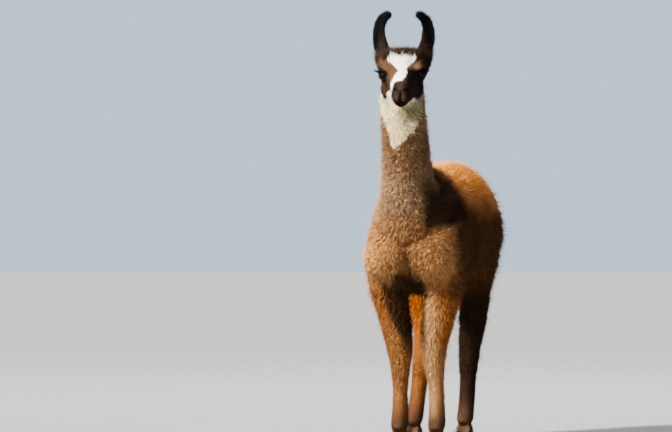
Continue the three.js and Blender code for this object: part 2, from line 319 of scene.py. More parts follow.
def planCoat(points, index):
    plan = {key: np.array([coatPlan[kind][key] for kind in kinds])[index] for key in coatKeys}
    x, along, over = inHead(points).T
    out, height = np.abs(x), points[:, 2]
    onHead, onEar, onTrunk, onLeg = (index == kinds.index(kind) for kind in ("head", "ear", "trunk", "leg"))
    eyeLevel = headMiddle[2]
    where = {
        "woollyLeg": ease(height, 0.26, 0.50) * onLeg,
        "slimLeg": ease(height, 0.24, 0.12) * onLeg,
        "crown": ease(over, 0.018, 0.055) * ease(along, 0.03, -0.01) * onHead,
        "muzzle": ease(along, 0.045, 0.10) * onHead,
        "throat": ease(over, -0.045, -0.08) * ease(along, 0.06, 0.0) * onHead,
        "earTip": ease(height, eyeLevel + 0.150, eyeLevel + 0.20) * onEar,
        "breast": ease(points[:, 1], -0.17, -0.27) * onTrunk,
        "poll": ease(over, 0.05, 0.075) * ease(along, 0.0, -0.03) * onHead,
        "temple": ease(out, 0.052, 0.066) * ease(over, -0.005, 0.02) * ease(along, 0.0, -0.02) * onHead,
        "besideEar": hump(out - 0.047, 0.016) * ease(over, 0.04, 0.06) * ease(along, 0.01, -0.02) * onHead,
    }
    for name, share in where.items():
        for key, value in coatChanges[name].items():
            plan[key] = mix(plan[key], value, share)
    return plan


plan = planCoat(outer, kindIndex)
onBody = ease(inHead(outer)[:, 2], -0.06, -0.13)  # the head and ears change over a shorter way
plan = {key: blend(spread(values, edges, 8)[:, None], spread(values, edges, 60)[:, None], onBody)[:, 0]
        for key, values in plan.items()}
kindShare = blend(spread(np.eye(len(kinds))[kindIndex], edges, 12),
                  spread(np.eye(len(kinds))[kindIndex], edges, 60), onBody)


# the lie of the coat: back from the nose, down the neck and legs, back and down along the trunk

def coatLie(points, share):
    x, over = inHead(points)[:, [0, 2]].T
    side, back, height = points.T
    ones = np.ones(len(points))
    flow = np.zeros_like(points)
    fan = np.stack([x * 9, -0.9 * ones - ease(over, 0.0, 0.05), 0.1 + 1.3 * ease(over, 0.0, 0.06)], 1)
    cheek = np.stack([0 * x, -1.0 * ones, -0.75 * ones], 1)
    onHead = blend(cheek, fan, ease(over, -0.03, 0.015)) @ headAxes
    spine = ease(np.abs(side), 0.10, 0.02) * ease(height, 0.86, 0.93)
    onTrunk = np.stack([side * 2 * ease(height, 0.8, 0.95), 0.62 * ones + 0.5 * spine,
                        -0.85 * (1 - spine)], 1)
    breast = ease(back, -0.24, -0.33)
    onTrunk = blend(onTrunk, np.stack([side * 1.5, 0 * ones, -ones], 1), breast)
    ways = {"head": onHead, "ear": np.stack([0 * x, 0 * x, ones], 1),
            "neck": np.stack([0 * x, 0.12 * ones, -ones], 1), "trunk": onTrunk,
            "tail": np.stack([0 * x, 0.1 * ones, -ones], 1),
            "leg": np.stack([0 * x, 0.12 * ones, -ones], 1),
            "foot": np.stack([0 * x, -0.7 * ones, -0.6 * ones], 1)}
    for i, kind in enumerate(kinds):
        flow += share[:, [i]] * unit(ways[kind])
    return flow


# sink the surface by the coat's depth, and give the body its folds

foldSettings = {"furrowAt": 0.014, "furrowDepth": 0.020, "neckHalf": 0.15, "foldHeight": 0.686,
                "foldRise": 0.075, "necklaceDepth": 0.006, "shoulderDepth": 0.009,
                "wrinkles": (0.026, 0.048, 0.075), "wrinkleDepth": 0.0022}


def fromFurrow(side):  # 0 at the breast's furrow, 1 at the neck's side
    return np.abs(side - foldSettings["furrowAt"]) / foldSettings["neckHalf"]


def foldLine(side):  # the height of the fold where the neck meets the breast
    return foldSettings["foldHeight"] + foldSettings["foldRise"] * fromFurrow(side) ** 1.4


def sinkSkin(points, normals, plan):
    low = ease(points[:, 2], 0.012, 0.003)
    inward = normals * np.stack([np.ones(len(points)), np.ones(len(points)), 1 - low], 1)
    sunk = points - inward * plan["depth"][:, None]
    sunk[:, 2] = np.maximum(sunk[:, 2], skinSettings["soleHeight"])
    return sunk


def bodyFolds(points):  # how far the breast's furrow and the folds where the neck meets it go in
    side, back, height = points.T
    front = ease(back, -0.20, -0.26)
    furrow = hump(side - foldSettings["furrowAt"], 0.020) * ease(height, 0.52, 0.57) \
        * ease(height, 0.705, 0.675)
    reach = fromFurrow(side)
    line = foldLine(side)
    necklace = hump(height - line, 0.015) * ease(reach, 1.1, 0.8) * foldSettings["necklaceDepth"]
    shoulder = hump(height - line, 0.012) * ease(side, 0.03, 0.07) * ease(side, 0.20, 0.15)
    ripples = sum(hump(height - line - rise - 0.006 * np.sin(side * 60 + rise * 90), 0.006)
                  for rise in foldSettings["wrinkles"])
    wrinkles = ripples * ease(reach, 0.8, 0.4) * foldSettings["wrinkleDepth"]
    deep = furrow * foldSettings["furrowDepth"] + necklace + shoulder * foldSettings["shoulderDepth"]
    return front * (deep + wrinkles)


normals = unit(spread(normalsOf(skin.data), edges, 5))
sunk = sinkSkin(outer, normals, plan)
sunk -= normals * bodyFolds(outer)[:, None]
setPoints(skin.data, sunk)
print("skin sunk under the coat")


# what each skin point carries is kept as attributes, so that finer faces inherit it

def keep(mesh, name, values):
    attribute = mesh.attributes.new(name, "FLOAT", "POINT")
    attribute.data.foreach_set("value", values.astype(np.float32))


def kept(mesh, name):
    return read(mesh.attributes[name].data, "value", 1)[:, 0].astype(float)


for key in coatKeys:
    keep(skin.data, key, plan[key])
for i, kind in enumerate(kinds):
    keep(skin.data, "share_" + kind, kindShare[:, i])


def unwrapSkin():
    alone(skin)
    bpy.ops.object.mode_set(mode="EDIT")
    bpy.ops.mesh.select_all(action="SELECT")
    bpy.ops.uv.smart_project(angle_limit=math.radians(70), island_margin=0.001)
    bpy.ops.object.mode_set(mode="OBJECT")
    skin.data.uv_layers.active.name = "OFBake"


unwrapSkin()
print("skin unwrapped")


def refine(inside, rounds):  # cut the faces whose corners all lie inside into four, and soften them
    shell = bmesh.new()
    shell.from_mesh(skin.data)
    shell.verts.ensure_lookup_table()
    chosen = [f for f in shell.faces if all(inside[v.index] for v in f.verts)]
    edgesToCut = list({e for f in chosen for e in f.edges})
    bmesh.ops.subdivide_edges(shell, edges=edgesToCut, cuts=1, use_grid_fill=True)
    shell.to_mesh(skin.data)
    shell.free()
    points = pointsOf(skin.data)
    size = len(inside)
    touched = np.zeros(len(points))
    touched[size:] = 1
    touched[:size] = inside
    setPoints(skin.data, spread(points, edgesOf(skin.data), rounds, where=touched))


def distanceToEyes(points):
    return np.minimum(*(np.linalg.norm(points - place, axis=1) for place in eyePlaces.values()))


def onFace(points):
    x, along, over = inHead(points).T
    return (along > -0.035) & (np.abs(x) < 0.1) & (np.abs(over) < 0.09)


points = pointsOf(skin.data)
refine(onFace(points) | (points[:, 2] < 0.075), 2)
points = pointsOf(skin.data)
refine((inHead(points)[:, 1] > 0.085) & onFace(points) | (distanceToEyes(points) < 0.034), 1)
points = pointsOf(skin.data)
refine(distanceToEyes(points) < 0.026, 1)
print("face refined,", len(skin.data.vertices), "points")


# the face: lids round the eyes, nostrils, the split lip and the mouth

eyeFacts = {"radius": 0.0160, "outward": 34, "lift": 7, "wide": 63, "tall": 40, "narrowing": 0.28,
            "lid": 0.0022, "inside": 0.0138}


def eyeAxes(side):  # forward out of the opening, towards its outer corner, and up, as rows
    outward, lift = (math.radians(eyeFacts[key]) for key in ("outward", "lift"))
    ahead = np.array([side * math.sin(outward), math.cos(outward) * math.cos(lift),
                      math.cos(outward) * math.sin(lift)])
    corner = unit(np.cross((0, -side * math.sin(lift), side * math.cos(lift)), ahead) * -1)
    return np.stack([ahead, corner, side * np.cross(corner, ahead)])


def eyeOpening(offsets, axes):  # under 1 inside the almond between the lids
    ahead, corner, up = (unit(offsets) @ axes.T).T
    across = np.degrees(np.arctan2(corner, ahead)) / eyeFacts["wide"]
    over = np.degrees(np.arcsin(np.clip(up, -1, 1))) / eyeFacts["tall"]
    over = over / (1 - eyeFacts["narrowing"] * np.clip(np.abs(across), 0, 1) ** 2)
    return np.hypot(across, over), over


def shapeLids(points):
    face = inHead(points)
    for side, place in eyePlaces.items():
        centre = inHead(place[None])[0]
        offsets = face - centre
        reach = np.linalg.norm(offsets, axis=1)
        opening, over = eyeOpening(offsets, eyeAxes(side))
        near = reach < 0.045
        lid = eyeFacts["radius"] + eyeFacts["lid"] * (1 + 0.35 * (over > 0))
        rim = lid + 0.0012 * hump(opening - 1.12, 0.10)
        target = np.where(opening < 1, eyeFacts["inside"], mix(rim, reach, ease(opening, 1.22, 1.85)))
        crease = 0.0018 * hump(opening - 1.42, 0.09) * (over > 0)
        target = np.where(near, target - crease, reach)
        face = centre + offsets * (target / np.maximum(reach, 1e-6))[:, None]
    return outOfHead(face)


muzzleFacts = {"nostril": (0.122, 0.002), "slant": (0.75, 0.66), "slitDepth": 0.0075, "rimRise": 0.0022,
               "philtrum": 0.0042, "lobeRise": 0.0022, "mouthHeight": -0.0375, "mouthDepth": 0.0065,
               "lipRise": 0.0018, "bridgeRise": 0.0012}


def mouthAt(along):  # the height of the mouth's line along the face
    return muzzleFacts["mouthHeight"] + 0.06 * (0.138 - along) * ease(along, 0.138, 0.10)


def shapeMuzzle(points, normals):
    x, along, over = inHead(points).T
    face = inHead(points)
    turned = inHead(points + normals) - face
    away = np.zeros(len(points))
    ahead, up = muzzleFacts["nostril"]
    lengthwise, upward = muzzleFacts["slant"]
    out = np.abs(x)
    slant = (along - ahead) * lengthwise + (over - up) * upward  # along the nostril's slit
    across = (along - ahead) * -upward + (over - up) * lengthwise
    curl = across - 10 * slant ** 2 + 0.0016
    front = ease(along, 0.095, 0.108)
    slit = hump(curl, 0.0034) * hump(slant, 0.0105) * ease(out, 0.009, 0.014) * front
    rimUpper = hump(curl - 0.0075, 0.0042) * hump(slant, 0.014) * ease(out, 0.009, 0.014) * front
    away += -muzzleFacts["slitDepth"] * slit + muzzleFacts["rimRise"] * rimUpper
    away -= muzzleFacts["philtrum"] * hump(x, 0.0030) * ease(over, 0.006, -0.008) \
        * ease(over, -0.042, -0.034) * ease(along, 0.11, 0.125)
    lobes = hump(out - 0.0115, 0.008) * hump(over + 0.018, 0.012) * ease(along, 0.112, 0.126)
    away += muzzleFacts["lobeRise"] * lobes
    line = mouthAt(along)
    mouth = hump(over - line, 0.0026) * ease(along, 0.072, 0.086)
    away -= muzzleFacts["mouthDepth"] * mouth
    lipRoll = hump(over - line - 0.008, 0.005) + 0.8 * hump(over - line + 0.008, 0.005)
    away += muzzleFacts["lipRise"] * lipRoll * ease(along, 0.085, 0.105)
    bridge = hump(out - 0.021, 0.009) * hump(over - 0.016, 0.012) * ease(along, 0.03, 0.06) \
        * ease(along, 0.12, 0.095)
    away += muzzleFacts["bridgeRise"] * bridge
    return outOfHead(face + turned * away[:, None])


points = pointsOf(skin.data)
points = shapeMuzzle(points, normalsOf(skin.data))
points = shapeLids(points)
setPoints(skin.data, points)
smoothFaces(skin.data)
print("face shaped")


# markings, the same for skin and coat, with painted light and shade among them

# painted light and shade among these colours: the lit breast, the darker left flank, the darker left hind
# leg, the shade colour and the chin's shade
coatColours = {
    "back": (236, 150, 80), "ridge": (222, 138, 34), "tail": (150, 92, 42),
    "flank": (140, 86, 40), "flankLeft": (54, 35, 22), "shade": (19, 14, 12),
    "breast": (156, 108, 64), "breastLit": (198, 140, 80),
    "neck": (160, 124, 90), "neckTop": (130, 95, 64), "nape": (66, 48, 33),
    "legFront": (196, 145, 92), "legRight": (152, 99, 50), "legSide": (150, 88, 38),
    "hindRight": (204, 108, 14), "hindLeftShaded": (48, 31, 20), "foot": (60, 40, 26),
    "white": (250, 248, 240), "cream": (255, 235, 186), "chinShade": (140, 128, 84),
    "brow": (88, 61, 41), "browLeft": (140, 102, 74), "cheek": (46, 27, 16),
    "temple": (28, 18, 12), "poll": (34, 24, 17), "dark": (18, 12, 10),
    "nose": (44, 28, 18), "lip": (46, 28, 16), "mouth": (12, 8, 7),
    "ear": (4, 3, 3), "earHair": (38, 23, 14),
}
paints = {name: tint(*seen) for name, seen in coatColours.items()}
blazeEdges = {  # from the eyes up, in millimetres: the white's right and left edges, from in front
    "height": [-30, -24, -19, -12, -6, 2, 10, 18, 23, 30, 35, 45, 60, 72, 86],
    "right": [-34, -31, -27, -23, -21, -17, -13, -14, -20, -31, -37, -47, -54, -50, -40],
    "left": [12, 10, 9, 9, 13, 16, 17, 18, 22, 30, 36, 46, 54, 46, 34],
}


def painted(colour, *layers):  # layers of paint over each other, by a name or a colour, with their shares
    for paint, share in layers:
        colour = blend(colour, paints[paint] if isinstance(paint, str) else paint, share)
    return colour


def blazeShares(points, ragged, drop):  # the blaze, the band behind the muzzle and the crown's edge
    x, along, over = inHead(points).T
    out = np.abs(x)
    right, left = (np.interp(drop * 1000, blazeEdges["height"], blazeEdges[key]) / 1000
                   for key in ("right", "left"))
    inside = np.minimum(x - right, left - x) + ragged
    spikes = blobs(np.stack([x, along * 0.2, over * 0.2], 1), 0.0034, 12) - 0.5
    crown = 0.051 - 0.004 * ease(x, 0.01, 0.03) + 0.004 * hump(x - 0.003, 0.022) \
        - 0.007 * ease(out, 0.038, 0.054) + 0.017 * spikes
    blaze = ease(inside, -0.002, 0.003) * ease(drop - crown, 0.004, -0.003) * ease(along, 0.110, 0.103)
    blaze *= ease(along, -0.078, -0.068)
    # from the bridge the white runs down both sides of the muzzle to the throat
    bandMiddle = np.interp(over, [-0.08, -0.04, 0.0, 0.02], [0.038, 0.066, 0.084, 0.080])
    bandTop = np.where(x < 0, ease(drop, -0.050, -0.062), ease(drop, -0.072, -0.084))
    bandHalf = mix(0.015, 0.010, ease(x, -0.01, 0.01))
    band = ease(np.abs(along + ragged - bandMiddle) - bandHalf, 0.002, -0.004) * bandTop
    return blaze, band, crown


def headPaint(points):
    x, along, over = inHead(points).T
    ragged = (blobs(points, 0.012, 3) - 0.5) * 0.010 + (blobs(points, 0.004, 4) - 0.5) * 0.006
    drop = -0.418 * along + 0.91 * over  # height in the face's front view, from the eyes
    out = np.abs(x)
    streak = ease(blobs(points * [2.2, 2.2, 0.8], 0.010, 7), 0.45, 0.8)
    temple = ease(drop + ragged, 0.040, 0.056) * ease(out, 0.030, 0.045)
    temple = np.maximum(temple, ease(along + ragged, -0.012, -0.03)) * (over > -0.05)
    browOut, browUp = np.where(x < 0, 0.050, 0.044), np.where(x < 0, 0.029, 0.025)
    browBone = hump(np.hypot((out - browOut) * 0.6, (drop - browUp) * 1.25), 0.0125)
    browBone *= ease(along, -0.05, -0.02)
    besideNose = hump((out - 0.030) * 1.4, 0.020) * ease(drop, -0.048, -0.02) * ease(drop, 0.034, 0.02)
    # painted shade: the face's left side, beside the blaze, darker than its right
    leftFaceShade = ease(x + ragged, 0.012, 0.022) * ease(drop, 0.022, 0.010) * ease(along, -0.02, 0.01)
    tear = hump(out - 0.056 - 0.15 * drop, 0.009) * ease(drop, -0.046, -0.034) * ease(drop, -0.004, -0.014)
    blaze, band, crown = blazeShares(points, ragged, drop)
    cheekEnd = -0.079 + 0.40 * np.abs(along - 0.034)
    under = ease(over + ragged - cheekEnd, 0.003, -0.004)
    noseTop = ease(along + 0.5 * ragged, 0.089, 0.096) * ease(out, 0.030, 0.024) * (over > -0.012)
    tip = ease(along + 0.5 * ragged, 0.101, 0.108)
    lobes = hump(out - 0.0135, 0.011) * hump(over + 0.021, 0.014) * tip
    poll = ease(drop - crown, -0.002, 0.004) * ease(along, 0.03, 0.0)
    return painted(
        np.tile(paints["cheek"], (len(points), 1)),
        ("brow", 0.45 * streak),
        ("temple", temple),
        (blend(paints["brow"], paints["browLeft"], ease(x, -0.01, 0.01)), np.clip(1.2 * browBone, 0, 1)),
        (paints["brow"] * 0.75, 0.85 * besideNose * (along > 0) * ease(x, 0.02, 0.0)),
        # painted shade on the face's left side
        ("dark", 0.75 * leftFaceShade),
        ("dark", 0.85 * tear * (along > 0)),
        ("dark", ease(distanceToEyes(points), 0.0275, 0.0215)),
        ("white", np.clip(np.maximum(blaze, band), 0, 1)),
        ("cream", under * ease(along, 0.112, 0.104)),
        ("nose", noseTop),
        ("dark", tip),
        ("nose", tip * hump(x, 0.009) * ease(over, 0.002, 0.010)),
        ("lip", np.clip(1.1 * lobes, 0, 1)),
        ("lip", 0.45 * tip * ease(over, -0.045, -0.055)),
        ("mouth", hump(over - mouthAt(along), 0.0032) * ease(along, 0.078, 0.09)),
        (blend(paints["poll"], paints["temple"], ease(out, 0.036, 0.050)), poll),
        ("nape", ease(along, -0.066, -0.084)),
    )


def neckPaint(side, back, height):
    top = ease(height + 0.8 * side, 0.87, 0.98) * (1 - 0.6 * ease(side, 0.02, 0.07))
    neck = blend(paints["neck"], paints["neckTop"], top)
    # darker at the back of the neck's base: partly a dark nape, partly painted shade behind the neck
    return blend(neck, paints["nape"], ease(back, -0.24, -0.17) * ease(height, 0.85, 1.0))


def legPaint(side, back, height, ragged):
    # the hind legs: the right one orange, its own colour made brighter as painted light, and the left one
    # darkened as painted shade
    hind = painted(
        blend(paints["hindRight"], paints["legSide"], ease(height, 0.40, 0.24)),
        ("hindLeftShaded", ease(side, -0.02, 0.02)),
    )
    return painted(
        blend(paints["legRight"], paints["legFront"], ease(side, -0.02, 0.02)),
        ("legSide", ease(np.abs(side) + 0.4 * ragged, 0.07, 0.115)),
        (hind, ease(back, -0.1, 0.05)),
        ("foot", ease(height + 0.3 * ragged, 0.20, 0.07)),
    )


def paintedShadeShare(side, back, height, ragged):  # painted shade: between the forelegs and under the breast, a painted shadow of the neck on the shoulder, and shade in the breast's furrow and the neck's fold
    furrowAt = foldSettings["furrowAt"]
    # painted shade on the forelegs' inner sides and under the breast between them
    hem = 0.565 + 0.030 * hump(side - furrowAt, 0.05)
    shadeBetweenLegs = ease(height + 0.9 * ragged - hem, 0.022, -0.022) * ease(height, 0.26, 0.40) \
        * ease(back, -0.08, -0.16) * ease(side, 0.065, 0.045) \
        * ease(side + 0.5 * ragged - 0.3 * (0.52 - height), -0.105, -0.075)
    line = foldLine(side) + 0.006
    # painted shadow of the neck, cast on the shoulder beside and behind it
    shoulder = ease(side, 0.0, 0.05) * hump(back + 0.18, 0.068) * ease(height, 0.78, 0.86)
    neckShadowSide = ease(side + 0.3 * ragged, 0.055, 0.085) * ease(back, -0.37, -0.32) * ease(back, -0.06, -0.14)
    neckShadow = np.maximum(shoulder, neckShadowSide) * ease(height - line + 0.4 * ragged, 0.0, 0.03)
    # painted shade in the breast's furrow and along the fold where the neck meets it
    furrow = hump(side - furrowAt + 0.1 * ragged, 0.006) * ease(height, 0.55, 0.58) * ease(height, 0.70, 0.67)
    foldShade = hump(height - line, 0.010) * ease(side, 0.015, 0.05) * ease(side, 0.18, 0.13)
    front = ease(back, -0.22, -0.28)
    return np.clip(0.9 * shadeBetweenLegs + 0.92 * neckShadow + front * (0.65 * furrow + 0.45 * foldShade), 0, 0.9)


def bodyPaint(points, share):
    side, back, height = points.T
    ragged = (blobs(points, 0.05, 5) - 0.5) * 0.05
    soft = blobs(points, 0.11, 6)
    # painted shade: the left flank much darker than the right
    flank = blend(paints["flank"], paints["flankLeft"], ease(side + 0.4 * ragged, 0.02, 0.12))
    upper = blend(paints["back"], paints["ridge"], ease(height + ragged, 0.86, 0.94))
    # painted light: the breast lighter on its right side and on its left lobe; painted shade darkens it along
    # the furrow
    breast = blend(paints["breast"], paints["breastLit"],
                   ease(side + ragged, 0.02, -0.12) * ease(height, 0.74, 0.66))
    breast = breast * (1 - 0.22 * hump(side - 0.018, 0.030) + 0.50 * ease(side, 0.03, 0.11))[:, None]
    breast = blend(breast, paints["legSide"], ease(height, 0.60, 0.50) * ease(np.abs(side), 0.07, 0.11))
    neckShare, legShare, footShare, tailShare = (share[:, kinds.index(kind)]
                                                 for kind in ("neck", "leg", "foot", "tail"))
    return painted(
        flank,
        (upper, ease(height + ragged, 0.765, 0.92) * 0.9 + 0.10 * soft),
        (breast, ease(back + ragged + 0.08 * ease(side, 0.09, 0.15), -0.10, -0.22)),
        (neckPaint(side, back, height), neckShare * ease(height + 0.6 * (back + 0.3), 0.66, 0.74)),
        (legPaint(side, back, height, ragged), np.clip(legShare + footShare, 0, 1)),
        ("tail", tailShare),
        # painted shade, in the shade colour
        ("shade", paintedShadeShare(side, back, height, ragged)),
    )


bibEdge = {  # round the neck, in degrees from its front line, and the white's lower edge, in metres
    "turn": [-125, -96, -85, -71, -52, -42, -33, -28, -24, -20, -13, -4, 34, 60, 87, 100, 128],
    "height": [1.50, 1.24, 1.155, 1.128, 1.115, 1.102, 1.088, 1.066, 1.036, 1.016, 1.006, 1.014, 1.057,
               1.090, 1.122, 1.19, 1.50],
}


def bib(points):  # the white throat, ending in a point on the front of the neck
    side, back, height = points.T
    ragged = (blobs(points, 0.03, 8) - 0.5) * 0.012 + (blobs(points, 0.010, 9) - 0.5) * 0.008
    centre = mix(-0.30, -0.32, ease(height, 1.0, 1.2))
    turn = np.degrees(np.arctan2(side - 0.004, centre - back))
    edge = np.interp(turn, bibEdge["turn"], bibEdge["height"])
    return ease(height + ragged - edge, -0.004, 0.003)


def coatPaint(points, share):
    side, back, height = points.T
    headShare, earShare = (share[:, kinds.index(kind)] for kind in ("head", "ear"))
    white = bib(points) * (1 - np.clip(earShare * 2, 0, 1))
    # painted shadow of the chin on the cream throat
    chinShadow = ease(height, 1.080, 1.112) * ease(side, -0.005, 0.030) * (back < -0.30)
    earFoot = headMiddle[2] + 0.075
    ear = ease(height + (blobs(points, 0.01, 11) - 0.5) * 0.02, earFoot - 0.012, earFoot + 0.014)
    ear = np.maximum(ear, ease(earShare, 0.3, 0.7)) * (earShare + headShare > 0.4)
    streaks = ease(blobs(points * [1, 1, 0.15], 0.004, 13), 0.35, 0.65)
    inner = ease(np.abs(inHead(points)[:, 0]), 0.086, 0.076) \
        * ease(height, earFoot + 0.085, earFoot + 0.02) * (0.35 + 0.65 * streaks)
    return painted(
        bodyPaint(points, share),
        (blend(paints["cream"], paints["chinShade"], 0.8 * chinShadow), white),
        (headPaint(points), ease(headShare + earShare, 0.35, 0.65)),
        (blend(paints["ear"], paints["earHair"], inner), ear),
    )


def sharesOf(mesh):
    return np.stack([kept(mesh, "share_" + kind) for kind in kinds], 1)


skinPoints = pointsOf(skin.data)
skinShares = sharesOf(skin.data)
skinColour = coatPaint(skinPoints, skinShares)
skinLie = coatLie(skinPoints, skinShares)
skinNormals = normalsOf(skin.data)
skinPlan = {key: kept(skin.data, key) for key in coatKeys}
print("markings painted")


def keepColour(mesh, colour):
    layer = mesh.color_attributes.new("coat", "FLOAT_COLOR", "POINT")
    rgba = np.concatenate([colour, np.ones((len(colour), 1))], 1)
    layer.data.foreach_set("color", rgba.astype(np.float32).ravel())


# materials

def newMaterial(name, roughness, specular):
    material = bpy.data.materials.new(name)
    material.use_nodes = True
    shader = material.node_tree.nodes["Principled BSDF"]
    shader.inputs["Roughness"].default_value = roughness
    shader.inputs["Specular IOR Level"].default_value = specular
    return material, shader


def addNode(tree, kind, **values):  # a shader node, with the inputs that are named set
    node = tree.nodes.new("ShaderNode" + kind)
    for name, value in values.items():
        node.inputs[name].default_value = value
    return node


def wire(tree, *wires):  # each from a node's output to a node's input
    for source, output, target, name in wires:
        tree.links.new(source.outputs[output], target.inputs[name])


def coatColour(tree):  # the colour that a mesh's points carry
    colour = addNode(tree, "Attribute")
    colour.attribute_name = "coat"
    return colour


def coatMaterial(name, roughness, variation, scale):
    material, shader = newMaterial(name, roughness, 0.06)
    tree = material.node_tree
    place, colour = addNode(tree, "TexCoord"), coatColour(tree)
    grain = addNode(tree, "TexNoise", Scale=scale, Detail=3)
    tone = addNode(tree, "MapRange")
    tone.inputs["To Min"].default_value = 1 - variation
    tone.inputs["To Max"].default_value = 1 + variation
    shade = addNode(tree, "VectorMath")
    shade.operation = "SCALE"
    wire(tree, (place, "Object", grain, "Vector"), (grain, "Fac", tone, "Value"), (colour, "Color", shade, 0),
         (tone, "Result", shade, "Scale"), (shade, "Vector", shader, "Base Color"))
    return material


def addFurBump(material, strength, distance):  # fine hairs, long from top to bottom
    tree = material.node_tree
    place = addNode(tree, "TexCoord")
    stretch = addNode(tree, "Mapping", Scale=(1, 1, 0.22))
    hairs = addNode(tree, "TexNoise", Scale=900, Detail=2)
    bump = addNode(tree, "Bump", Strength=strength, Distance=distance)
    wire(tree, (place, "Object", stretch, "Vector"), (stretch, "Vector", hairs, "Vector"),
         (hairs, "Fac", bump, "Height"), (bump, "Normal", tree.nodes["Principled BSDF"], "Normal"))


finishes = {  # how rough each is, how much its tone varies, and how fine its grain is
    "earVelvet": (0.85, 0.10, 420), "fleece": (0.95, 0.12, 160),
    "shortHair": (0.75, 0.10, 420), "skinFur": (0.80, 0.10, 300),
}
earVelvet, fleece, shortHair, skinFur = (coatMaterial(name, *finish) for name, finish in finishes.items())
addFurBump(skinFur, 0.5, 0.001)

# painted shade: the skin is darker where the coat over it is longer, so the gaps between tufts read as shade
skinShadedTone = skinColour * (0.72 + 0.28 * ease(skinPlan["length"], 0.012, 0.005))[:, None]
keepColour(skin.data, skinShadedTone)
skin.data.materials.append(skinFur)
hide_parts(*[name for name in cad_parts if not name.startswith(("eye", "toenail"))])
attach(skin, "root")


# coat: thin tufts in joined meshes, rooted on the skin and leaning along its lie

coatSettings = {"clump": 2.7, "wander": 0.25, "crimp": 0.06, "flat": 0.7, "rooted": 0.0010,
                "lengths": (0.75, 1.15), "widths": (0.75, 1.2),
                "strays": 0.09, "strayLengths": (1.15, 1.6), "strayLift": 26, "strayWidth": 0.5,
                "lockSpace": 2.4, "lockLength": 1.12, "lockWidth": 1.1,
                "candidates": 4, "apart": 1.22, "cellStep": 1.2, "patch": 0.003, "sides": 3,
                "proud": (0.009, 0.017, 0.020)}
tuftRings = {  # where along the tuft each ring is, and how wide
    "spike": [(0.0, 1.0)],
    "lock": [(0.0, 0.8), (0.5, 0.85)],
}

skin.data.calc_loop_triangles()
triangles = read(skin.data.loop_triangles, "vertices", 3, np.int32)
loopsOfTriangles = read(skin.data.loop_triangles, "loops", 3, np.int32)
skinUv = read(skin.data.uv_layers["OFBake"].uv, "vector", 2).astype(float)


def scatter(chosen, density, rng):  # roots on the chosen triangles, evenly apart
    corners = skinPoints[triangles[chosen]]
    area = np.linalg.norm(np.cross(corners[:, 1] - corners[:, 0], corners[:, 2] - corners[:, 0]), axis=1) / 2
    space = skinPlan["space"][triangles[chosen]].mean(1) / density
    wanted = area / space ** 2 * coatSettings["candidates"]
    count = int(wanted.sum())
    triangle = chosen[rng.choice(len(chosen), count, p=wanted / wanted.sum())]
    a, b = rng.random((2, count))
    a, b = np.where(a + b > 1, (1 - a, 1 - b), (a, b))
    weights = np.stack([1 - a - b, a, b], 1)
    places = (skinPoints[triangles[triangle]] * weights[:, :, None]).sum(1)
    size = (skinPlan["space"][triangles[triangle]] * weights).sum(1) / density * coatSettings["apart"]
    # one root is kept in each cell of a grid, whose cells are in steps of size
    step = np.round(np.log(size) / math.log(coatSettings["cellStep"]))
    cell = np.floor(places / (coatSettings["cellStep"] ** step)[:, None]).astype(np.int64)
    _, picked = np.unique(scramble(cell) + step.astype(np.int64), return_index=True)
    return triangle[picked], weights[picked]


def nearest(places, targets):
    tree = KDTree(len(targets))
    for i, target in enumerate(targets):
        tree.insert(target, i)
    tree.balance()
    return np.array([tree.find(place)[1] for place in places])


tipLow = np.array(cadLow) - coatSettings["proud"]
tipHigh = np.array(cadHigh) + coatSettings["proud"]


def curveTufts(roots, up, lie, plan, mate, clumpy, tousle, rng):  # each one's knee and tip, and the strays
    count = len(roots)
    across = np.cross(up, lie)
    wander = (blobs(roots, 0.022, 40) - 0.5) * 1.6 + (blobs(roots, 0.007, 41) - 0.5) * 1.0
    wander = wander * coatSettings["wander"] + rng.normal(0, tousle, count)[mate] + rng.normal(0, 0.12, count)
    lie = unit(lie * np.cos(wander)[:, None] + across * np.sin(wander)[:, None])
    lift = rng.normal(0, 14 * tousle, count)[mate] + rng.normal(0, 6, count)
    long = plan["length"] * rng.uniform(*coatSettings["lengths"], count)
    long *= 0.88 + 0.24 * blobs(roots, 0.03, 43)
    stray = rng.random(count) < coatSettings["strays"]
    long = np.where(stray, long * rng.uniform(*coatSettings["strayLengths"], count), long)
    lift = np.where(stray, lift + coatSettings["strayLift"], lift)

    def lean(angle):
        angle = np.radians(np.clip(angle + lift, 2, 88))
        return lie * np.cos(angle)[:, None] + up * np.sin(angle)[:, None]

    knee = roots + lean(plan["root"]) * (long * 0.5)[:, None]
    tips = knee + lean(plan["tip"]) * (long * 0.5)[:, None]
    gather = clumpy * np.where(stray, 0.2, 1) * rng.uniform(0.6, 1.2, count)
    near = hump(np.linalg.norm(roots - roots[mate], axis=1), 0.03 + long) * gather
    tips += (tips[mate] - tips) * near[:, None]
    knee += (knee[mate] - knee) * (near * 0.35)[:, None]
    side = np.cross(up, unit(tips - roots))
    knee += side * (rng.normal(0, coatSettings["crimp"], count) * long)[:, None]
    return np.clip(knee, tipLow, tipHigh), np.clip(tips, tipLow, tipHigh), stray


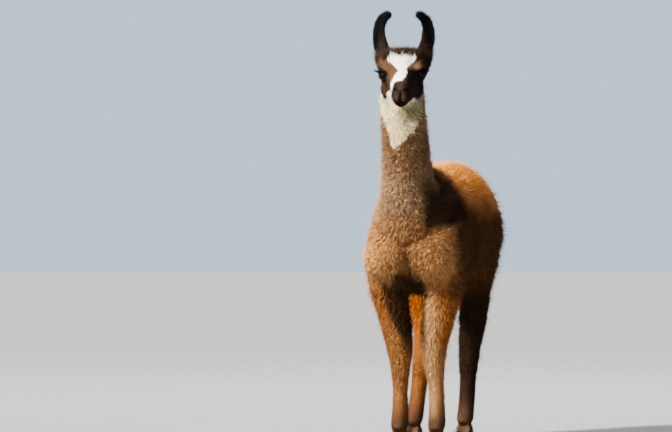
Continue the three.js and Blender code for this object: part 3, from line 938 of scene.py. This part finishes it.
def sweepTufts(rings, roots, knee, tips, up, wide):  # the points of rings along each curve, and of its tip
    sides = coatSettings["sides"]
    vertices = np.empty((len(roots), len(rings) * sides + 1, 3))
    for i, (reached, girth) in enumerate(rings):
        middle = roots * (1 - reached) ** 2 + knee * (2 * reached * (1 - reached)) + tips * reached ** 2
        if i == 0:
            middle = middle - up * coatSettings["rooted"]
        heading = unit((knee - roots) * (1 - reached) + (tips - knee) * reached)
        first = unit(np.cross(heading, up))
        second = np.cross(first, heading)
        for k in range(sides):
            turn = 2 * math.pi * (k + 0.25) / sides
            reach = first * math.cos(turn) + second * (math.sin(turn) * coatSettings["flat"])
            vertices[:, i * sides + k] = middle + reach * (wide * girth)[:, None]
    vertices[:, -1] = tips
    return vertices


def tuftFaces(rings):  # one tuft's faces, and where their corners lie in its patch of the map
    sides = coatSettings["sides"]
    faces, layout = [(2, 1, 0)], [((0.3, 0.0), (0.6, 0.0), (0.45, 0.08))]
    for i in range(len(rings)):
        for k in range(sides):
            low, lowNext = i * sides + k, i * sides + (k + 1) % sides
            u, uNext, v = k / sides, (k + 1) / sides, rings[i][0]
            if i + 1 < len(rings):
                top = rings[i + 1][0]
                faces += [(low, lowNext, lowNext + sides), (low, lowNext + sides, low + sides)]
                layout += [((u, v), (uNext, v), (uNext, top)), ((u, v), (uNext, top), (u, top))]
            else:
                faces += [(low, lowNext, len(rings) * sides)]
                layout += [((u, v), (uNext, v), ((u + uNext) / 2, 1))]
    return np.array(faces), np.array(layout, float)


def colourTufts(colour, roots, mate, rings, tousle, rng):  # painted shade: darker at the root, where shade falls between tufts, and each tuft's tone its own
    count = len(roots)
    pale = ease(colour.min(1), 0.3, 0.6)  # white wool is more even, with less painted shade at its roots
    uneven = (0.05 + 0.40 * tousle) * (1 - 0.6 * pale)
    tone = np.clip(1 + rng.normal(0, 1, count)[mate] * uneven * 0.8, 0.45, 1.6) \
        * np.clip(1 + rng.normal(0, 1, count) * uneven, 0.4, 1.6)
    tone *= 0.90 + 0.20 * blobs(roots, 0.02, 44)
    part = np.append(np.repeat([reached for reached, girth in rings], coatSettings["sides"]), 1.0)
    rootShade = mix(0.58 - 0.2 * tousle, 0.88, pale)
    shade = mix(rootShade[:, None], 1.10, ease(part, 0.0, 0.9)[None]) * tone[:, None]
    return colour[:, None] * shade[:, :, None]


def growTufts(chosen, shape, seed, clumpy, tousle, sparse=1.0, stretch=1.0, thick=1.0):
    rng = np.random.default_rng(seed)
    rings = tuftRings[shape]
    triangle, weights = scatter(chosen, 1 / sparse, rng)

    def here(values):
        return (values[triangles[triangle]] * weights.reshape(-1, 3, *[1] * (values.ndim - 1))).sum(1)

    roots, up, lie = here(skinPoints), unit(here(skinNormals)), here(skinLie)
    lie = unit(lie - (lie * up).sum(1, keepdims=True) * up)
    plan = {key: here(skinPlan[key]) for key in coatKeys}
    plan["length"] *= stretch
    count = len(roots)
    picked = rng.permutation(count)[: max(8, int(count / coatSettings["clump"] ** 2))]
    mate = picked[nearest(roots, roots[picked])]  # the neighbour that each tuft leans towards
    knee, tips, stray = curveTufts(roots, up, lie, plan, mate, clumpy, tousle, rng)
    wide = plan["width"] * thick * rng.uniform(*coatSettings["widths"], count) / 2 \
        * np.where(stray, coatSettings["strayWidth"], 1)
    vertices = sweepTufts(rings, roots, knee, tips, up, wide)
    faces, layout = tuftFaces(rings)
    corners = (faces[None] + (np.arange(count) * vertices.shape[1])[:, None, None]).reshape(-1)
    rootUv = (skinUv[loopsOfTriangles[triangle]] * weights[:, :, None]).sum(1)
    patch = (layout.reshape(1, -1, 2) - 0.5) * coatSettings["patch"]
    colour = colourTufts(coatPaint(roots, here(skinShares)), roots, mate, rings, tousle, rng)
    return (vertices.reshape(-1, 3), corners, (rootUv[:, None] + patch).reshape(-1, 2), colour.reshape(-1, 3))


def joinTufts(name, layers, material):
    vertices, corners, uv, colour = (np.concatenate(parts) for parts in zip(*layers))
    corners = corners.copy()
    start, passed = 0, 0
    for layer in layers:  # each layer's corners count on from the points before it
        corners[passed:passed + len(layer[1])] += start
        start, passed = start + len(layer[0]), passed + len(layer[1])
    mesh = bpy.data.meshes.new(name)
    mesh.vertices.add(len(vertices))
    mesh.vertices.foreach_set("co", vertices.astype(np.float32).ravel())
    mesh.loops.add(len(corners))
    mesh.loops.foreach_set("vertex_index", corners.astype(np.int32))
    mesh.polygons.add(len(corners) // 3)
    mesh.polygons.foreach_set("loop_start", np.arange(0, len(corners), 3, dtype=np.int32))
    smoothFaces(mesh)
    mesh.update(calc_edges=True)
    low, high = uv.min(0), uv.max(0)
    layer = mesh.uv_layers.new(name="OFBake")
    layer.uv.foreach_set("vector", ((uv - low) / (high - low) * 0.996 + 0.002).astype(np.float32).ravel())
    keepColour(mesh, colour)
    mesh.materials.append(material)
    coat = addObject(name, mesh)
    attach(coat, "root")
    print(name, len(mesh.polygons), "triangles")
    return len(mesh.polygons)


coatLooks = {  # each part's material and slot, how much it gathers and tousles, and whether it has locks
    "face": (shortHair, "face_coat", 0.2, 0.12, False),
    "crown": (shortHair, "face_coat", 0.3, 0.2, True),
    "ears": (earVelvet, "ear_coat", 0.2, 0.12, False),
    "neck": (fleece, "neck_coat", 0.6, 0.42, True),
    "breast": (fleece, "body_coat", 0.55, 0.4, True),
    "flank": (fleece, "body_coat", 0.5, 0.34, True),
    "haunch": (fleece, "body_coat", 0.5, 0.32, True),
    "legs": (fleece, "leg_coat", 0.25, 0.13, True),
    "shanks": (shortHair, "leg_coat", 0.15, 0.15, False),
    "tail": (fleece, "body_coat", 0.4, 0.25, True),
}
coatCuts = {"crown": -0.02, "neck": 1.02, "breast": -0.18, "haunch": 0.14, "shank": 0.24, "sole": 0.02}


def coatParts(middle):  # which of the skin's triangles, by their middles, each piece of coat grows on
    along = inHead(middle)[:, 1]
    side, back, height = middle.T
    major = skinShares[triangles].mean(1).argmax(1)
    head, ear, neck, trunk, tail, leg, foot = (major == i for i in range(len(kinds)))
    breast = trunk & (back < coatCuts["breast"])
    haunch = trunk & ~breast & (back >= coatCuts["haunch"])
    flank = trunk & ~breast & (back < coatCuts["haunch"])
    long = leg & (height > coatCuts["shank"])
    return {
        "face": head & (along > coatCuts["crown"]),
        "crown": head & (along <= coatCuts["crown"]),
        "ears": ear,
        "neck_upper": neck & (height > coatCuts["neck"]),
        "neck_lower": neck & (height <= coatCuts["neck"]),
        "breast": breast,
        "flank_left": flank & (side > 0),
        "flank_right": flank & (side <= 0),
        "haunch_left": haunch & (side > 0),
        "haunch_right": haunch & (side <= 0),
        "legs_front": long & (back < 0),
        "legs_hind": long & (back >= 0),
        "shanks": (leg & ~long) | foot,
        "tail": tail,
    }


def bareTriangles(middle):  # under the soles and between the lids nothing grows
    bare = middle[:, 2] < coatCuts["sole"]
    for which, place in eyePlaces.items():
        offsets = inHead(middle) - inHead(place[None])[0]
        inside = eyeOpening(offsets, eyeAxes(which))[0] < 1.22
        bare |= inside & (np.linalg.norm(offsets, axis=1) < 0.030)
    return bare


def growCoat():
    middle = skinPoints[triangles].mean(1)
    bare = bareTriangles(middle)
    total = 0
    for i, (part, where) in enumerate(coatParts(middle).items()):
        material, slot, clumpy, tousle, locks = coatLooks[part.split("_")[0]]
        chosen = np.flatnonzero(where & ~bare)
        layers = [growTufts(chosen, "spike", 20 + i, clumpy, tousle)]
        if locks:
            layers.append(growTufts(chosen, "lock", 50 + i, clumpy, tousle, coatSettings["lockSpace"],
                                    coatSettings["lockLength"], coatSettings["lockWidth"]))
        total += joinTufts("coat_" + part, layers, material)
    print("coat grown,", total, "triangles")


growCoat()


# eyes: a dark glossy ball each, its front standing a little proud

eyeLook = {"iris": 0.0105, "pupilWide": 0.0062, "pupilTall": 0.0030, "bulge": 0.0012,
           "ballTone": (14, 10, 9), "irisTone": (16, 9, 6), "pupilTone": (4, 3, 4)}


def makeEye(side, node):
    bpy.ops.object.select_all(action="DESELECT")
    bpy.ops.mesh.primitive_uv_sphere_add(segments=64, ring_count=40, radius=1)
    eye = bpy.context.object
    eye.name = eye.data.name = node.replace("eye", "eyeball")
    axes = eyeAxes(side) @ headAxes
    local = pointsOf(eye.data)[:, [2, 0, 1]]  # the ball's pole looks out of the lids
    offAxis = np.arccos(np.clip(local[:, 0], -1, 1)) * eyeFacts["radius"]
    bulge = eyeLook["bulge"] * ease(offAxis, eyeLook["iris"] * 1.1, eyeLook["iris"] * 0.4)
    reach = eyeFacts["radius"] + bulge
    setPoints(eye.data, eyePlaces[side] + (local * reach[:, None]) @ axes)
    faceOutwards(eye.data)
    across, tall = local[:, 1] * eyeFacts["radius"], local[:, 2] * eyeFacts["radius"]
    front = local[:, 0] > 0
    pupil = ease(np.hypot(across / eyeLook["pupilWide"], tall / eyeLook["pupilTall"]), 1.15, 0.9) * front
    iris = ease(offAxis, eyeLook["iris"] * 1.05, eyeLook["iris"] * 0.95)
    keepColour(eye.data, painted(tint(*eyeLook["ballTone"]), (tint(*eyeLook["irisTone"]), iris),
                                 (tint(*eyeLook["pupilTone"]), pupil)))
    smoothFaces(eye.data)
    eye.data.materials.append(eyeMaterial)
    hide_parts(node)
    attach(eye, "root")


eyeMaterial, eyeShader = newMaterial("wetEye", 0.05, 0.12)
eyeShader.inputs["IOR"].default_value = 1.34
wire(eyeMaterial.node_tree, (coatColour(eyeMaterial.node_tree), "Color", eyeShader, "Base Color"))
makeEye(1, "eye_left")
makeEye(-1, "eye_right")
print("eyes made")


# lashes: long curved hairs along the upper lid, shorter ones below

lashSettings = {"upper": 70, "lower": 26, "upperLength": 0.019, "lowerLength": 0.006, "thick": 0.0012,
                "tone": (7, 5, 4)}


def lashHair(root, heading, curl, length, thick):  # the rings of one curved hair, and its tip
    sideways = unit(np.cross(heading, curl))
    rings = []
    for part in (0.0, 0.35, 0.7):
        middle = root + heading * length * part + curl * length * 0.35 * part ** 2
        width = thick * (1 - 0.6 * part) / 2
        for k in range(3):
            turn = 2 * math.pi * k / 3
            rings.append(middle + (sideways * math.cos(turn) + curl * math.sin(turn)) * width)
    rings.append(root + heading * length + curl * length * 0.35)
    return rings


def makeLashes(side, name):
    rng = np.random.default_rng(5)
    axes = eyeAxes(side)
    centre = inHead(eyePlaces[side][None])[0]
    corners, faces = [], []
    hairFaces = [(2, 1, 0)]
    for i in range(2):
        for k in range(3):
            low, lowNext = i * 3 + k, i * 3 + (k + 1) % 3
            hairFaces += [(low, lowNext, lowNext + 3, low + 3)]
    hairFaces += [(6, 7, 9), (7, 8, 9), (8, 6, 9)]
    for rowSign, count, length in [(1, lashSettings["upper"], lashSettings["upperLength"]),
                                   (-1, lashSettings["lower"], lashSettings["lowerLength"])]:
        for i in range(count):
            across = -0.85 + 1.75 * (i + rng.uniform(-0.3, 0.3)) / (count - 1)
            over = rowSign * math.sqrt(max(0.02, 1.06 - across ** 2))
            over *= 1 - eyeFacts["narrowing"] * min(across ** 2, 1)
            turn = math.radians(across * eyeFacts["wide"])
            lift = math.radians(over * eyeFacts["tall"] * 1.04)
            outward = np.array([math.cos(turn) * math.cos(lift), math.sin(turn) * math.cos(lift),
                                math.sin(lift)])
            root = outward * (eyeFacts["radius"] + 0.0010)
            heading = unit(outward + np.array([0.25, 0.45 * across + 0.30, 0.05 - 0.10 * rowSign])
                           + rng.normal(0, 0.07, 3))
            curl = unit(np.array([0.1, 0.2, 0.9 * rowSign]))
            size = length * (0.75 + 0.5 * max(0, across)) * rng.uniform(0.8, 1.15)
            ringPoints = lashHair(root, heading, curl, size, lashSettings["thick"])
            start = len(corners)
            corners += [outOfHead((centre + np.array(p) @ axes)[None])[0] for p in ringPoints]
            faces += [tuple(start + c for c in face) for face in hairFaces]
    mesh = bpy.data.meshes.new(name)
    mesh.from_pydata([tuple(c) for c in corners], [], faces)
    faceOutwards(mesh)
    mesh.materials.append(lashMaterial)
    lashes = addObject(name, mesh)
    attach(lashes, "root")


lashMaterial, lashShader = newMaterial("lashHair", 0.7, 0.04)
lashShader.inputs["Base Color"].default_value = (*tint(*lashSettings["tone"]), 1)
makeLashes(1, "lashes_left")
makeLashes(-1, "lashes_right")
print("lashes made")


# toenails keep their solids, with a horn material

hornSettings = {"darkTone": (30, 24, 20), "paleTone": (72, 58, 46), "bands": 240}


def hornMaterial():
    material, shader = newMaterial("horn", 0.42, 0.5)
    tree = material.node_tree
    place, bands = addNode(tree, "TexCoord"), addNode(tree, "TexNoise", Scale=hornSettings["bands"])
    ramp = addNode(tree, "ValToRGB")
    for stop, at, tone in zip(ramp.color_ramp.elements, (0.3, 0.75), ("darkTone", "paleTone")):
        stop.position, stop.color = at, (*tint(*hornSettings[tone]), 1)
    wire(tree, (place, "Object", bands, "Vector"), (bands, "Fac", ramp, "Fac"),
         (ramp, "Color", shader, "Base Color"))
    return material


horn = hornMaterial()
for name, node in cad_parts.items():
    if name.startswith("toenail"):
        node.data.materials.clear()
        node.data.materials.append(horn)


# studio: a wide pale floor before a pale blue backdrop, a low sun, a soft fill and a light from behind

studio = {"floorRadius": 60, "floorTone": (122, 126, 130), "roomTone": (0.62, 0.76, 0.92), "roomLight": 0.26,
          "backdropTone": (0.76, 0.97, 1.18)}
sun = {"towards": (-0.515, -0.595, 0.616), "strength": 25, "softness": 6, "tone": (1.0, 0.93, 0.82)}
fill = {"towards": (0.15, -0.93, 0.34), "strength": 3.4, "softness": 70, "tone": (0.92, 0.96, 1.0)}
behind = {"place": (-1.2, 3.4, 4.6), "target": (0, 0.25, 0.9), "size": 1.6, "power": 460,
          "tone": (1.0, 0.93, 0.82)}


def makeFloor():
    bpy.ops.object.select_all(action="DESELECT")
    bpy.ops.mesh.primitive_circle_add(vertices=96, radius=studio["floorRadius"], fill_type="NGON")
    floor = bpy.context.object
    floor.name = floor.data.name = "studioFloor"
    material, shader = newMaterial("paleFloor", 0.9, 0.1)
    shader.inputs["Base Color"].default_value = (*tint(*studio["floorTone"]), 1)
    floor.data.materials.append(material)


def addSun(name, settings):
    data = bpy.data.lights.new(name, "SUN")
    data.energy, data.color = settings["strength"], settings["tone"]
    data.angle = math.radians(settings["softness"])
    light = addObject(name, data)
    light.rotation_euler = Vector(settings["towards"]).to_track_quat("Z", "Y").to_euler()


def addLamp(name, settings):
    data = bpy.data.lights.new(name, "AREA")
    data.size, data.energy, data.color = settings["size"], settings["power"], settings["tone"]
    light = addObject(name, data)
    light.location = settings["place"]
    way = Vector(settings["target"]) - light.location
    light.rotation_euler = way.to_track_quat("-Z", "Y").to_euler()


def makeRoom():  # what lights the scene all round, and the backdrop that the camera sees
    world = bpy.data.worlds.new("softRoom")
    world.use_nodes = True
    tree = world.node_tree
    room = tree.nodes["Background"]
    room.inputs["Color"].default_value = (*studio["roomTone"], 1)
    room.inputs["Strength"].default_value = studio["roomLight"]
    backdrop = addNode(tree, "Background", Color=(*studio["backdropTone"], 1))
    seen, either = addNode(tree, "LightPath"), addNode(tree, "MixShader")
    wire(tree, (seen, "Is Camera Ray", either, 0), (room, 0, either, 1), (backdrop, 0, either, 2),
         (either, 0, tree.nodes["World Output"], "Surface"))
    scene.world = world


makeFloor()
addSun("keyLight", sun)
addSun("fillLight", fill)
addLamp("backLight", behind)
makeRoom()
print("studio lit")
